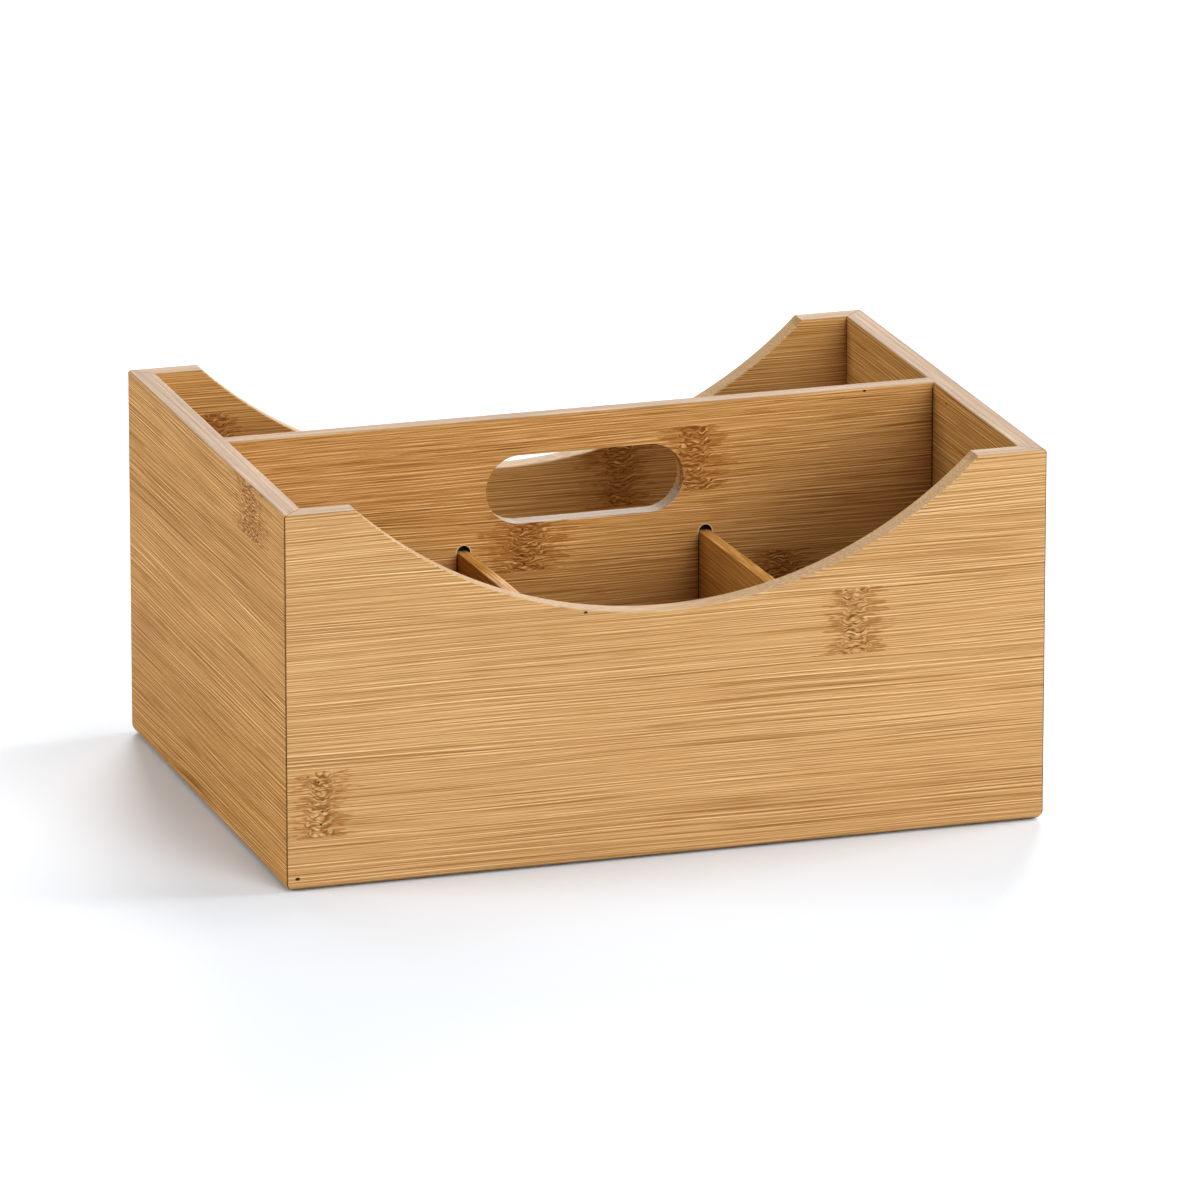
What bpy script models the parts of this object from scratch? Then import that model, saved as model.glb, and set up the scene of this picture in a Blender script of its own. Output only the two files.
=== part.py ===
"""Open bamboo storage box with a carrying divider, built as a joiner would build it.

Four boards meet in mitred corners round a bottom panel that sits in grooves. The front and the
back board are scooped out. A full-height divider with a handle slot is housed in the two side
boards, and two thin cross dividers stand in slots between it and the front board.

Metres, +Z up, front towards -Y. The origin is at the centre of the footprint.
"""

import math

import bmesh
import bpy
from mathutils import Matrix, Vector

# Outside of the box
BOX_LENGTH = 0.250
BOX_DEPTH = 0.180
BOX_HEIGHT = 0.122

# Thickness of each kind of board
WALL_THICKNESS = 0.0075
DIVIDER_THICKNESS = 0.0065
CROSS_THICKNESS = 0.0040
BOTTOM_THICKNESS = 0.0040

# Space that the glue and the fit take at every joint
JOINT_GAP = 0.0003

# Rounding of the edges
ARRIS_RADIUS = 0.0008
CROSS_ARRIS_RADIUS = 0.0004
FOOT_RADIUS = 0.0030
ROUNDING_SEGMENTS = 4

# Scoop in the front and the back board: an arc between two flat horns
HORN_LENGTH = 0.0230
SCOOP_DEPTH = 0.0413
SCOOP_SEGMENTS = 64

# Handle slot in the centre divider, with the bar that the fingers close round above it
HANDLE_LENGTH = 0.0660
HANDLE_WIDTH = 0.0225
HANDLE_BAR = 0.0125
HANDLE_END_SEGMENTS = 20

# Bottom panel: how far it is let into the walls, and how far its underside clears the table
BOTTOM_GROOVE_DEPTH = 0.0030
BOTTOM_RECESS = 0.0040

# Stopped housings of the centre divider in the side boards
HOUSING_DEPTH = 0.0025
HOUSING_STOP = 0.0060

# Cross dividers: height of the top edge at its back end above the table, how far it rises from
# there to the front end, distance of their middles, depth of their slots
CROSS_TOP = 0.0790
CROSS_RISE = 0.0024
CROSS_SPACING = 0.0810
CROSS_SLOT_DEPTH = 0.0025
CROSS_SLOT_SEGMENTS = 12

# What follows from the sizes above
INNER_LENGTH = BOX_LENGTH - 2 * WALL_THICKNESS
INNER_DEPTH = BOX_DEPTH - 2 * WALL_THICKNESS
FLOOR_LEVEL = BOTTOM_RECESS + BOTTOM_THICKNESS
BOARD_FOOT = FLOOR_LEVEL + JOINT_GAP

# Points this near count as one, and bends up to these count as flat and as smooth
NEAR = 0.00001
FLAT_BEND = math.radians(0.2)
SMOOTH_BEND = math.radians(30)
SHARP_BEND = math.radians(45)

BAMBOO_LIGHT = "#D6A66C"
BAMBOO_SIDE = "#C0945C"
BAMBOO_DIVIDER = "#B5834A"
BAMBOO_THIN = "#9A6B38"
BAMBOO_ROUGHNESS = 0.42

COLLECTION_NAME = "storage_box"
CUTTER_COLLECTION_NAME = "storage_box_cutters"


def clear_scene():
    """Remove every object of the scene."""
    for item in list(bpy.data.objects):
        bpy.data.objects.remove(item, do_unlink=True)


def new_collection(name):
    """Make a collection of the scene."""
    collection = bpy.data.collections.new(name)
    bpy.context.scene.collection.children.link(collection)
    return collection


def linear_colour(code):
    """Turn an sRGB hex code into Blender's linear RGBA."""
    channels = [int(code[i:i + 2], 16) / 255 for i in (1, 3, 5)]
    linear = [c / 12.92 if c <= 0.04045 else ((c + 0.055) / 1.055) ** 2.4 for c in channels]
    return (*linear, 1.0)


def bamboo(name, code):
    """Clear-lacquered bamboo of one tone."""
    material = bpy.data.materials.new(name + "_bamboo")
    material.use_nodes = True
    shader = material.node_tree.nodes["Principled BSDF"]
    shader.inputs["Base Color"].default_value = linear_colour(code)
    shader.inputs["Roughness"].default_value = BAMBOO_ROUGHNESS
    shader.inputs["Metallic"].default_value = 0.0
    material.diffuse_color = linear_colour(code)
    return material


def arc(centre_x, centre_z, radius, start, end, segments):
    """Points of an arc in X and Z, both ends included, angles from +X towards +Z."""
    angles = [start + (end - start) * i / segments for i in range(segments + 1)]
    return [(centre_x + radius * math.cos(a), centre_z + radius * math.sin(a)) for a in angles]


def board_mesh(loops, thickness):
    """Upright board as a bmesh: closed outlines in X and Z, its thickness centred on Y = 0."""
    curve = bpy.data.curves.new("outline", "CURVE")
    curve.dimensions = "2D"
    curve.fill_mode = "BOTH"
    curve.extrude = thickness / 2
    for loop in loops:
        spline = curve.splines.new("POLY")
        spline.points.add(len(loop) - 1)
        spline.use_cyclic_u = True
        for point, (x, z) in zip(spline.points, loop):
            point.co = (x, z, 0.0, 1.0)
    guide = bpy.data.objects.new("outline", curve)
    bpy.context.scene.collection.objects.link(guide)
    mesh = bpy.data.meshes.new_from_object(guide.evaluated_get(bpy.context.evaluated_depsgraph_get()))
    bpy.data.objects.remove(guide, do_unlink=True)
    bpy.data.curves.remove(curve)

    board = bmesh.new()
    board.from_mesh(mesh)
    bpy.data.meshes.remove(mesh)
    bmesh.ops.remove_doubles(board, verts=board.verts, dist=NEAR)
    bmesh.ops.dissolve_limit(board, angle_limit=FLAT_BEND, verts=board.verts, edges=board.edges)
    bmesh.ops.rotate(board, verts=board.verts, matrix=Matrix.Rotation(math.pi / 2, 3, "X"))
    return board


def rectangle(length, low, high):
    """Outline of a plain board, centred on X = 0."""
    return [(-length / 2, low), (length / 2, low), (length / 2, high), (-length / 2, high)]


def face_edges(board, thickness, side):
    """Sharp edges round the board's face on the side of -Y (-1) or +Y (1)."""
    plane = side * thickness / 2
    edges = []
    for edge in board.edges:
        on_face = all(abs(vert.co.y - plane) < NEAR for vert in edge.verts)
        if on_face and edge.calc_face_angle(0.0) > SHARP_BEND:
            edges.append(edge)
    return edges


def is_vertical(edge):
    """True for an edge that runs straight up."""
    low, high = edge.verts
    return abs(low.co.x - high.co.x) < NEAR


def round_edges(board, edges, radius):
    """Round the given edges of a bmesh over to a quarter circle."""
    bmesh.ops.bevel(board, geom=edges, offset=radius, offset_type="OFFSET", affect="EDGES",
                    segments=ROUNDING_SEGMENTS, profile=0.5, clamp_overlap=True)


def round_wall(board):
    """Round the outer bottom edge over to the foot radius, and soften every other level edge."""
    foot = [edge for edge in face_edges(board, WALL_THICKNESS, -1)
            if max(vert.co.z for vert in edge.verts) < NEAR]
    round_edges(board, foot, FOOT_RADIUS)
    level = [edge for side in (-1, 1) for edge in face_edges(board, WALL_THICKNESS, side)
             if not is_vertical(edge)]
    round_edges(board, level, ARRIS_RADIUS)


def mitre_ends(board, length):
    """Cut both ends of a wall at 45 degrees, half the joint's gap short of the corner's diagonal."""
    for end in (-1, 1):
        outward = Vector((end, 1, 0)).normalized()
        middle = Vector((end * (length - WALL_THICKNESS) / 2, 0, 0)) - outward * JOINT_GAP / 2
        cut = bmesh.ops.bisect_plane(board, geom=board.verts[:] + board.edges[:] + board.faces[:],
                                     plane_co=middle, plane_no=outward, clear_outer=True)
        rim = [item for item in cut["geom_cut"] if isinstance(item, bmesh.types.BMEdge)]
        bmesh.ops.edgeloop_fill(board, edges=rim)


def make_object(name, board, collection):
    """Turn a bmesh into an object, its faces pointing out and its rounded edges shaded smooth."""
    bmesh.ops.recalc_face_normals(board, faces=board.faces)
    mesh = bpy.data.meshes.new(name)
    board.to_mesh(mesh)
    board.free()
    mesh.shade_smooth()
    mesh.set_sharp_from_angle(angle=SMOOTH_BEND)
    item = bpy.data.objects.new(name, mesh)
    collection.objects.link(item)
    return item


def make_piece(name, board, code, collection, parent):
    """Make one wooden piece of the box."""
    piece = make_object(name, board, collection)
    piece.data.materials.append(bamboo(name, code))
    piece.parent = parent
    return piece


def make_wall(name, outline, length, turn, distance, code, collection, parent):
    """Make one mitred outer wall. Turn is about Z, and distance is from the box's middle."""
    board = board_mesh([outline], WALL_THICKNESS)
    round_wall(board)
    mitre_ends(board, length)
    wall = make_piece(name, board, code, collection, parent)
    wall.rotation_euler = (0, 0, turn)
    wall.location = Matrix.Rotation(turn, 3, "Z") @ Vector((0, -distance, 0))
    return wall


def scooped_outline(length):
    """Outline of the front and back walls: flat horns at both ends and one arc between them."""
    half = length / 2
    chord_half = half - HORN_LENGTH
    radius = (chord_half ** 2 + SCOOP_DEPTH ** 2) / (2 * SCOOP_DEPTH)
    centre_z = BOX_HEIGHT - SCOOP_DEPTH + radius
    swing = math.asin(chord_half / radius)
    down = -math.pi / 2
    scoop = arc(0, centre_z, radius, down + swing, down - swing, SCOOP_SEGMENTS)
    return [(-half, 0), (half, 0), (half, BOX_HEIGHT), *scoop, (-half, BOX_HEIGHT)]


def box_mesh(low, high):
    """Box between two corners as a bmesh."""
    board = bmesh.new()
    size = Vector(high) - Vector(low)
    middle = (Vector(high) + Vector(low)) / 2
    bmesh.ops.create_cube(board, size=1, matrix=Matrix.Translation(middle) @ Matrix.Diagonal((*size, 1)))
    return board


def make_cutter(name, board, collection):
    """Make a solid that is only there to be cut away from others."""
    cutter = make_object(name, board, collection)
    cutter.hide_render = True
    cutter.display_type = "WIRE"
    return cutter


def cut(piece, cutter):
    """Take a cutter's space out of a piece."""
    boolean = piece.modifiers.new("cut_" + cutter.name, "BOOLEAN")
    boolean.operation = "DIFFERENCE"
    boolean.object = cutter


def bottom_groove_cutter(collection):
    """Space of the bottom panel in the four walls."""
    half_x = INNER_LENGTH / 2 + BOTTOM_GROOVE_DEPTH
    half_y = INNER_DEPTH / 2 + BOTTOM_GROOVE_DEPTH
    board = box_mesh((-half_x, -half_y, BOTTOM_RECESS - JOINT_GAP), (half_x, half_y, BOARD_FOOT))
    return make_cutter("bottom_groove", board, collection)


def housing_cutter(collection):
    """Space of the centre divider's ends in the two side walls."""
    half_x = INNER_LENGTH / 2 + HOUSING_DEPTH
    half_y = DIVIDER_THICKNESS / 2 + JOINT_GAP
    top = BOX_HEIGHT - HOUSING_STOP + JOINT_GAP
    board = box_mesh((-half_x, -half_y, FLOOR_LEVEL), (half_x, half_y, top))
    return make_cutter("divider_housing", board, collection)


def cross_centres():
    """Middles of the two cross dividers along X, the left one first."""
    return [-CROSS_SPACING / 2, CROSS_SPACING / 2]


def cross_slot_span():
    """Front and back end of the cross dividers' slots along Y."""
    front = -INNER_DEPTH / 2 - CROSS_SLOT_DEPTH
    back = -DIVIDER_THICKNESS / 2 + CROSS_SLOT_DEPTH
    return front, back


def cross_slot_cutter(name, centre_x, collection):
    """Router slot with a round top that follows the cross divider's rising top edge.

    It runs from the front wall into the centre divider, so that the two slots are in line.
    """
    half = CROSS_THICKNESS / 2 + JOINT_GAP
    front, back = cross_slot_span()
    outline = [(-half, FLOOR_LEVEL), (half, FLOOR_LEVEL)]
    outline += arc(0, CROSS_TOP, half, 0, math.pi, CROSS_SLOT_SEGMENTS)
    board = board_mesh([outline], back - front)
    for vert in board.verts:
        if vert.co.y < 0 and vert.co.z > FLOOR_LEVEL + NEAR:
            vert.co.z += CROSS_RISE
    bmesh.ops.translate(board, verts=board.verts, vec=(centre_x, (front + back) / 2, 0))
    return make_cutter(name, board, collection)


def make_bottom_panel(collection, parent):
    """Make the panel that the four walls hold in their grooves."""
    half_x = INNER_LENGTH / 2 + BOTTOM_GROOVE_DEPTH - JOINT_GAP
    half_y = INNER_DEPTH / 2 + BOTTOM_GROOVE_DEPTH - JOINT_GAP
    board = box_mesh((-half_x, -half_y, BOTTOM_RECESS), (half_x, half_y, FLOOR_LEVEL))
    return make_piece("bottom_panel", board, BAMBOO_DIVIDER, collection, parent)


def divider_outline():
    """Outline of the centre divider: shoulders at the top, wider below where it is housed."""
    shoulder = INNER_LENGTH / 2 - JOINT_GAP
    tongue = INNER_LENGTH / 2 + HOUSING_DEPTH - JOINT_GAP
    stop = BOX_HEIGHT - HOUSING_STOP
    right = [(tongue, BOARD_FOOT), (tongue, stop), (shoulder, stop), (shoulder, BOX_HEIGHT)]
    left = [(-x, z) for x, z in reversed(right)]
    return right + left


def handle_outline():
    """Outline of the handle slot: two straight runs with round ends."""
    radius = HANDLE_WIDTH / 2
    reach = HANDLE_LENGTH / 2 - radius
    level = BOX_HEIGHT - HANDLE_BAR - radius
    quarter = math.pi / 2
    right = arc(reach, level, radius, -quarter, quarter, HANDLE_END_SEGMENTS)
    left = arc(-reach, level, radius, quarter, 3 * quarter, HANDLE_END_SEGMENTS)
    return right + left


def make_centre_divider(collection, parent):
    """Make the carrying divider, its handle slot and its top edge softened on both faces."""
    board = board_mesh([divider_outline(), handle_outline()], DIVIDER_THICKNESS)
    handle_low = BOX_HEIGHT - HANDLE_BAR - HANDLE_WIDTH
    handle_half = HANDLE_LENGTH / 2
    touched = []
    for side in (-1, 1):
        for edge in face_edges(board, DIVIDER_THICKNESS, side):
            low = min(vert.co.z for vert in edge.verts)
            reach = max(abs(vert.co.x) for vert in edge.verts)
            of_handle = low > handle_low - NEAR and reach < handle_half + NEAR
            of_top = low > BOX_HEIGHT - NEAR
            if of_handle or of_top:
                touched.append(edge)
    round_edges(board, touched, ARRIS_RADIUS)
    return make_piece("centre_divider", board, BAMBOO_DIVIDER, collection, parent)


def make_cross_divider(name, centre_x, collection, parent):
    """Make one thin divider of the front compartment, its top edges softened."""
    front, back = cross_slot_span()
    half = (back - front) / 2 - JOINT_GAP
    outline = [(-half, BOARD_FOOT), (half, BOARD_FOOT), (half, CROSS_TOP), (-half, CROSS_TOP + CROSS_RISE)]
    board = board_mesh([outline], CROSS_THICKNESS)
    top = [edge for side in (-1, 1) for edge in face_edges(board, CROSS_THICKNESS, side)
           if min(vert.co.z for vert in edge.verts) > CROSS_TOP - NEAR]
    round_edges(board, top, CROSS_ARRIS_RADIUS)
    divider = make_piece(name, board, BAMBOO_THIN, collection, parent)
    divider.rotation_euler = (0, 0, math.pi / 2)
    divider.location = (centre_x, (front + back) / 2, 0)
    return divider


def main():
    clear_scene()
    parts = new_collection(COLLECTION_NAME)
    cutters = new_collection(CUTTER_COLLECTION_NAME)
    box = bpy.data.objects.new(COLLECTION_NAME, None)
    parts.objects.link(box)

    scooped = scooped_outline(BOX_LENGTH)
    plain = rectangle(BOX_DEPTH, 0, BOX_HEIGHT)
    to_front = (BOX_DEPTH - WALL_THICKNESS) / 2
    to_side = (BOX_LENGTH - WALL_THICKNESS) / 2
    front = make_wall("front_panel", scooped, BOX_LENGTH, 0, to_front, BAMBOO_LIGHT, parts, box)
    back = make_wall("back_panel", scooped, BOX_LENGTH, math.pi, to_front, BAMBOO_LIGHT, parts, box)
    left = make_wall("left_side_panel", plain, BOX_DEPTH, -math.pi / 2, to_side, BAMBOO_SIDE, parts, box)
    right = make_wall("right_side_panel", plain, BOX_DEPTH, math.pi / 2, to_side, BAMBOO_SIDE, parts, box)
    divider = make_centre_divider(parts, box)
    make_bottom_panel(parts, box)

    groove = bottom_groove_cutter(cutters)
    for wall in (front, back, left, right):
        cut(wall, groove)
    housing = housing_cutter(cutters)
    for wall in (left, right):
        cut(wall, housing)
    for side, centre_x in zip(("left", "right"), cross_centres()):
        make_cross_divider("cross_divider_" + side, centre_x, parts, box)
        slot = cross_slot_cutter("cross_slot_" + side, centre_x, cutters)
        for board in (front, divider):
            cut(board, slot)


main()
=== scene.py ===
"""Finishes an open bamboo storage box round its CAD frame.

Every board of the frame is replaced by a finished one in the same place: closed mitres, eased
edges, a routed handle slot and a solid bamboo pattern that runs through each board. The file is
laid out as an add-on, and is run as a script. Metres, +Z up, front towards -Y.
"""

import functools
import math
import typing

import bmesh
import bpy
from mathutils import Matrix, Vector


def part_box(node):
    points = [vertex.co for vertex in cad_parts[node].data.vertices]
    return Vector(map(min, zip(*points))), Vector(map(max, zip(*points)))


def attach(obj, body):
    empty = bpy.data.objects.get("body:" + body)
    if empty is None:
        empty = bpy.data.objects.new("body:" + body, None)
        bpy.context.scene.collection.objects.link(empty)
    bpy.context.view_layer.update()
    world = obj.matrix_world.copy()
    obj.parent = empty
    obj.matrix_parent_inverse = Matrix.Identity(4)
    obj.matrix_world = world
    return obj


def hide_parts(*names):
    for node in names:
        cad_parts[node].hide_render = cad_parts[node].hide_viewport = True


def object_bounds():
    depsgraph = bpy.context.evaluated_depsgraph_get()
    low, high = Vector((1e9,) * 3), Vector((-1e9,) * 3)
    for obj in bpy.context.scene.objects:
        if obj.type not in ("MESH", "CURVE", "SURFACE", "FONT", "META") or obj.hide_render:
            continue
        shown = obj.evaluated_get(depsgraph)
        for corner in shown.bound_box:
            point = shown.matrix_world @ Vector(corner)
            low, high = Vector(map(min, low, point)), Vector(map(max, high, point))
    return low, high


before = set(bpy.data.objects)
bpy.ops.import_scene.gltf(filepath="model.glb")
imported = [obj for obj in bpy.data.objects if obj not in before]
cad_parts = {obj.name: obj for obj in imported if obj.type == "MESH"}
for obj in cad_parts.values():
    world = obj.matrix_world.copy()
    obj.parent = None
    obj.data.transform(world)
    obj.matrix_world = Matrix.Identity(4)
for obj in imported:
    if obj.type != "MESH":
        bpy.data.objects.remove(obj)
CAD_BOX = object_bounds()

bl_info = {
    "name": "Bamboo storage box",
    "version": (1, 0, 0),
    "blender": (4, 5, 0),
    "location": "View3D > Sidebar > Storage Box",
    "description": "Finishes the boards of an open bamboo storage box and sets up its studio",
    "category": "Object",
}

BODY = "root"
MM = 0.001
QUARTER_TURN = math.pi / 2

# Sizes that the frame's own boxes give
LENGTH, DEPTH, HEIGHT = CAD_BOX[1] - CAD_BOX[0]
FRONT_LOW, FRONT_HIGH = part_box("front_panel")
DIVIDER_LOW, DIVIDER_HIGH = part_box("centre_divider")
BOTTOM_LOW, BOTTOM_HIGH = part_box("bottom_panel")
CROSS_LOW, CROSS_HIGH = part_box("cross_divider_left")
WALL = FRONT_HIGH.y - FRONT_LOW.y
DIVIDER = DIVIDER_HIGH.y - DIVIDER_LOW.y
CROSS = CROSS_HIGH.x - CROSS_LOW.x
INNER_LENGTH = LENGTH - 2 * WALL
INNER_DEPTH = DEPTH - 2 * WALL

# Middles of the cross dividers along X, the left one first
CROSS_CENTRES = ((CROSS_LOW.x + CROSS_HIGH.x) / 2, -(CROSS_LOW.x + CROSS_HIGH.x) / 2)

# Camera that was fitted to the photograph, and the width of its sensor
CAMERA_PLACE = (-1.0764, -3.3779, 1.1033)
CAMERA_TURN = (math.radians(73.63), 0, math.radians(-17.72))
CAMERA_LENS_MM = 352.0
CAMERA_SENSOR_MM = 36.0

# Bends up to these count as flat and as smooth, and a sharp edge bends by more than the third
FLAT_BEND = math.radians(0.2)
SMOOTH_BEND = math.radians(35)
SHARP_BEND = math.radians(40)

# Points this near count as one, and so do a normal's components
NEAR = 0.00001
NEAR_NORMAL = 0.001

# How far outside its board's face a pit's cutter is centred, so that no row of its points lies on it
PIT_LIFT = 0.00005

# Segments of the scoop's whole drum and of the roundings
DRUM_SEGMENTS = 360
FOOT_SEGMENTS, ARRIS_SEGMENTS, TIP_SEGMENTS, HANDLE_SEGMENTS, CROSS_SEGMENTS = 8, 5, 3, 4, 3
GLUE_SEGMENTS = 6
HANDLE_END_SEGMENTS, SLOT_TOP_SEGMENTS = 40, 24
FLOOR_SEGMENTS = 96


def linear(code):
    """Turn an sRGB hex code into linear RGB."""
    channels = [int(code[i:i + 2], 16) / 255 for i in (1, 3, 5)]
    return tuple(c / 12.92 if c <= 0.04045 else ((c + 0.055) / 1.055) ** 2.4 for c in channels)


def length_property(name, millimetres, description):
    """A length that the user can change, given in millimetres and kept in metres."""
    return bpy.props.FloatProperty(name=name, description=description, default=millimetres * MM,
                                   min=0.0, precision=5, unit="LENGTH", subtype="DISTANCE")


def colour_property(name, code, description):
    """A colour that the user can change."""
    return bpy.props.FloatVectorProperty(name=name, description=description, size=3, min=0.0,
                                         max=1.0, default=linear(code), subtype="COLOR")


class BoxSizes(bpy.types.PropertyGroup):
    """Sizes of the boards that the frame's boxes don't give."""
    horn_length: length_property("Horn length", 23.0, "Flat top at each end of a scooped board")
    scoop_depth: length_property("Scoop depth", 41.3, "How far the scoop dips below the top")
    arris_radius: length_property("Arris radius", 0.7, "Softening of the level edges")
    tip_radius: length_property("Tip radius", 0.35, "Softening of the upright corner edges")
    foot_radius: length_property("Foot radius", 3.0, "Rounding of the outer bottom edge")
    glue_line: length_property("Glue line", 0.28, "Thickness of the glue in the mitres")
    glue_back: length_property("Glue set back", 0.15, "How far the glue stays inside the outer faces")
    joint_gap: length_property("Joint gap", 0.05, "Play of tongues in their grooves")
    handle_length: length_property("Handle length", 66.0, "Length of the handle slot")
    handle_width: length_property("Handle width", 22.5, "Width of the handle slot")
    handle_bar: length_property("Handle bar", 12.5, "Wood above the handle slot")
    handle_arris: length_property("Handle arris", 0.5, "Softening of the handle slot's edges")
    groove_depth: length_property("Groove depth", 3.0, "Depth of the bottom panel's grooves")
    housing_depth: length_property("Housing depth", 2.5, "Depth of the divider's housings")
    housing_stop: length_property("Housing stop", 6.0, "Wood above the divider's housings")
    slot_depth: length_property("Slot depth", 2.5, "Depth of the cross dividers' slots")
    slot_play: length_property("Slot play", 0.20, "Play on each side of a cross divider")
    cross_rise: length_property("Cross rise", 2.4, "Rise of a cross divider towards the front")
    cross_arris: length_property("Cross arris", 0.3, "Softening of a cross divider's top")


class BambooLook(bpy.types.PropertyGroup):
    """Colours and gloss of the bamboo."""
    wall_tone: colour_property("Wall tone", "#B38957", "Wood of the front board")
    back_tone: colour_property("Back tone", "#B88B50", "Wood of the back board")
    left_tone: colour_property("Left tone", "#B07F42", "Wood of the left board")
    right_tone: colour_property("Right tone", "#AA7B41", "Wood of the right board")
    divider_tone: colour_property("Divider tone", "#B48349", "Wood of the centre divider")
    thin_tone: colour_property("Thin tone", "#AE7A3A", "Wood of the cross dividers")
    bottom_tone: colour_property("Bottom tone", "#B88243", "Wood of the bottom panel")
    # Tones of faces that look up: sanded and cut wood, and partly a painted sheen
    cream_tone: colour_property("Cream tone", "#9D8264", "Sanded tops, where the ply is pale")
    pink_tone: colour_property("Pink tone", "#987959", "Sanded tops, where the ply is steamed")
    left_top_tone: colour_property("Left top tone", "#A78F78", "Sanded top of the left board")
    scoop_tone: colour_property("Scoop tone", "#BA9870", "Sawn and sanded edge of the scoops")
    handle_tone: colour_property("Handle tone", "#A28A73", "Sanded edge of the handle slot")
    thin_edge_tone: colour_property("Thin edge tone", "#C08A46", "Tops of the cross dividers")
    roughness: bpy.props.FloatProperty(name="Roughness", description="Roughness of the lacquer",
                                       default=0.48, min=0.0, max=1.0, subtype="FACTOR")
    gloss: bpy.props.FloatProperty(name="Gloss", description="Strength of the lacquer's reflection",
                                   default=0.05, min=0.0, max=1.0, subtype="FACTOR")


# The studio's soft boxes: their width, where each stands, in metres, and its power in watts
SOFT_BOX_WIDTH = 1.6
SOFT_BOXES = (
    ("overhead_right", (1.6, 0.0, 2.6), 15.0),
    ("overhead_back", (0.0, 1.9, 2.5), 15.0),
    ("overhead_front", (0.6, -1.9, 2.5), 25.0),
    ("front", (0.9, -3.4, 0.9), 83.0),
    ("left", (-3.2, 0.4, 1.2), 71.0),
    ("right", (3.0, 0.0, 1.3), 77.0),
    ("back", (1.1, 3.1, 1.2), 59.0),
)
FLOOR_ROUGHNESS = 0.6


class BoxStudio(bpy.types.PropertyGroup):
    """Floor and light of the studio."""
    floor_radius: bpy.props.FloatProperty(name="Floor radius", description="Radius of the round floor",
                                          default=8.0, min=1.0, unit="LENGTH")
    floor_tone: colour_property("Floor tone", "#E8EEF5", "Colour of the floor")
    light: bpy.props.FloatProperty(name="Light", description="Factor on every soft box's power",
                                   default=1.05, min=0.0)
    surround: bpy.props.FloatProperty(name="Surround", description="Brightness of the room",
                                      default=0.1, min=0.0)


def set_inputs(node, inputs):
    """Give a node's inputs. Each takes a value, a socket, or a node for its first output in use."""
    for key, value in inputs.items():
        if isinstance(value, bpy.types.Node):
            value = next(socket for socket in value.outputs if socket.enabled)
        if isinstance(value, bpy.types.NodeSocket):
            node.id_data.links.new(value, node.inputs[key])
        else:
            node.inputs[key].default_value = value


def add_node(tree, kind, *inputs, **named):
    """Add a node. Its inputs come in order or by name, and a name in small letters is a setting.

    A kind in capitals is an operation of the Math node, and another kind may end with one.
    """
    kind, _, operation = ("Math " + kind if kind.isupper() else kind).partition(" ")
    family = next(family for family in ("ShaderNode", "GeometryNode", "FunctionNode", "")
                  if hasattr(bpy.types, family + kind))
    made = tree.nodes.new(family + kind)
    if operation:
        made.operation = operation
    numbered = dict(enumerate(inputs))
    for name, value in named.items():
        if name.islower():
            setattr(made, name, value)
        else:
            numbered[name.replace("_", " ")] = value
    set_inputs(made, numbered)
    return made


def new_tree(name, kind, inputs, outputs):
    """Make a node tree, and return the function that adds nodes to it, and its given values.

    Its sockets are floats, unless another kind follows their name.
    """
    tree = bpy.data.node_groups.new(name, kind)
    for direction, sockets in (("INPUT", inputs), ("OUTPUT", outputs)):
        for socket in sockets.split(", "):
            label, _, socket_kind = socket.partition(":")
            tree.interface.new_socket(label, in_out=direction,
                                      socket_type="NodeSocket" + (socket_kind or "Float"))
    *given, _ = tree.nodes.new("NodeGroupInput").outputs
    return functools.partial(add_node, tree), given


def board_tree():
    """Geometry Nodes tree of a mitred wall: a plank with slanted ends, its scoop cut by a drum.

    The board lies along X with its outer face towards -Y and its foot on Z = 0.
    """
    add, given = new_tree(
        "mitred_wall", "GeometryNodeTree",
        "Length, Height, Thickness, Horn Length, Scoop Depth, Glue Line, Scooped:Bool, "
        "Drum Segments:Int, Material:Material", "Board:Geometry")
    length, height, thickness, horn, scoop, glue, is_scooped, segments, material = given

    plank = add("MeshCube", add("CombineXYZ", length, thickness, height))
    lift = add("CombineXYZ", Z=add("MULTIPLY", height, 0.5))
    standing = add("Transform", Geometry=plank, Translation=lift)

    place = add("SeparateXYZ", add("InputPosition"))
    is_inner = add("GREATER_THAN", place.outputs["Y"], 0.0)
    glue_share = add("MULTIPLY", glue, math.sqrt(0.5))
    short = add("MULTIPLY_ADD", is_inner, thickness, glue_share)
    inward = add("MULTIPLY", add("SIGN", place.outputs["X"]), short)
    mitre = add("CombineXYZ", add("MULTIPLY", inward, -1.0))
    mitred = add("SetPosition", Geometry=standing, Offset=mitre)

    chord = add("SUBTRACT", add("MULTIPLY", length, 0.5), horn)
    chord_square = add("MULTIPLY", chord, chord)
    squares = add("MULTIPLY_ADD", scoop, scoop, chord_square)
    radius = add("DIVIDE", squares, add("MULTIPLY", scoop, 2.0))
    width = add("MULTIPLY", thickness, 3.0)
    drum = add("MeshCylinder", Vertices=segments, Radius=radius, Depth=width)
    axle = add("ADD", add("SUBTRACT", height, scoop), radius)
    turned = add("Transform", Geometry=drum, Rotation=(QUARTER_TURN, 0, 0),
                 Translation=add("CombineXYZ", Z=axle))
    scooped = add("MeshBoolean DIFFERENCE", mitred, turned, solver="EXACT")
    board = add("Switch", is_scooped, mitred, scooped, input_type="GEOMETRY")
    real = add("RealizeInstances", board)
    add("NodeGroupOutput", add("SetMaterial", Geometry=real, Material=material))


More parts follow.
